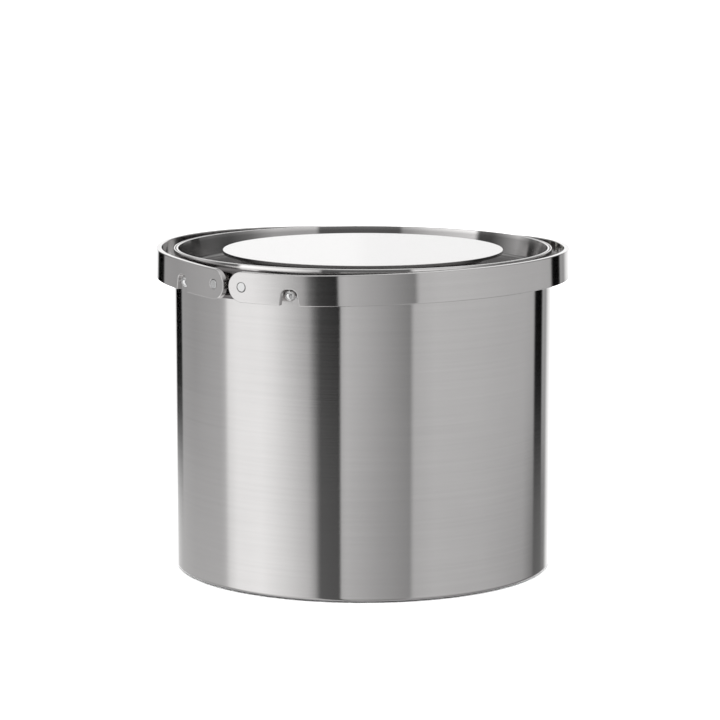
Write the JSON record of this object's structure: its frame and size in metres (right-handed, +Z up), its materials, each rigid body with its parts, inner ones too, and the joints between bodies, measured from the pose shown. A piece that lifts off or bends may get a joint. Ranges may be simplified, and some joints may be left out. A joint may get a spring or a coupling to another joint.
{
  "type": "ice bucket",
  "caption": "Insulated cylindrical steel ice bucket with a flush lid lifted by a recessed disc and two hinged half-hoop band handles.",
  "frame": {"origin": "centre of the base, on the surface that the bucket stands on", "axes": "+Z up along the drum's axis; the two hinge brackets lie on -Y (front) and +Y (back); one handle rests round -X (left), the other round +X (right)"},
  "size_m": [0.2002, 0.2, 0.1558],
  "materials": {
    "shell_steel": "satin, brushed round the drum",
    "plain_steel": "mill finish",
    "liner_steel": "satin",
    "lid_steel": "satin, turned",
    "disc_steel": "satin, turned",
    "band_steel": "satin, brushed along the band, bright edges",
    "bracket_steel": "satin",
    "rivet_steel": "ground flush",
    "pin_steel": "polished",
    "base_rubber": "matt",
    "collar_plastic": "moulded",
    "washer_nylon": "moulded",
    "seal_silicone": "matt silicone",
    "foam": "rigid foam"
  },
  "bodies": {
    "bucket": {"outer_shell": "shell_steel", "base_plate": "plain_steel", "base_pad": "base_rubber", "inner_liner": "liner_steel", "liner_collar": "collar_plastic", "insulation_sleeve": "foam", "insulation_base": "foam", "hinge_bracket_front": "bracket_steel", "hinge_bracket_back": "bracket_steel", "pivot_rivet_front_left": "rivet_steel", "pivot_rivet_front_right": "rivet_steel", "pivot_rivet_back_left": "rivet_steel", "pivot_rivet_back_right": "rivet_steel", "pivot_washer_front_left": "washer_nylon", "pivot_washer_front_right": "washer_nylon", "pivot_washer_back_left": "washer_nylon", "pivot_washer_back_right": "washer_nylon", "rest_pin_front_left": "pin_steel", "rest_pin_front_right": "pin_steel", "rest_pin_back_left": "pin_steel", "rest_pin_back_right": "pin_steel"},
    "lid": {"lid_pan": "lid_steel", "lid_disc": "disc_steel", "lid_underside": "liner_steel", "lid_insulation": "foam", "lid_seal": "seal_silicone"},
    "left_handle": {"handle_left": "band_steel"},
    "right_handle": {"handle_right": "band_steel"}
  },
  "joints": [
    {"name": "left_handle_hinge", "type": "hinge", "parent": "bucket", "child": "left_handle", "pos_m": [-0.0085, 0, 0.1462], "axis": [0, 1, 0], "range_deg": [0, 88]},
    {"name": "right_handle_hinge", "type": "hinge", "parent": "bucket", "child": "right_handle", "pos_m": [0.0085, 0, 0.1462], "axis": [0, -1, 0], "range_deg": [0, 88]},
    {"name": "lid_lift", "type": "slide", "parent": "bucket", "child": "lid", "axis": [0, 0, 1], "range_m": [0, 0.019]}
  ]
}
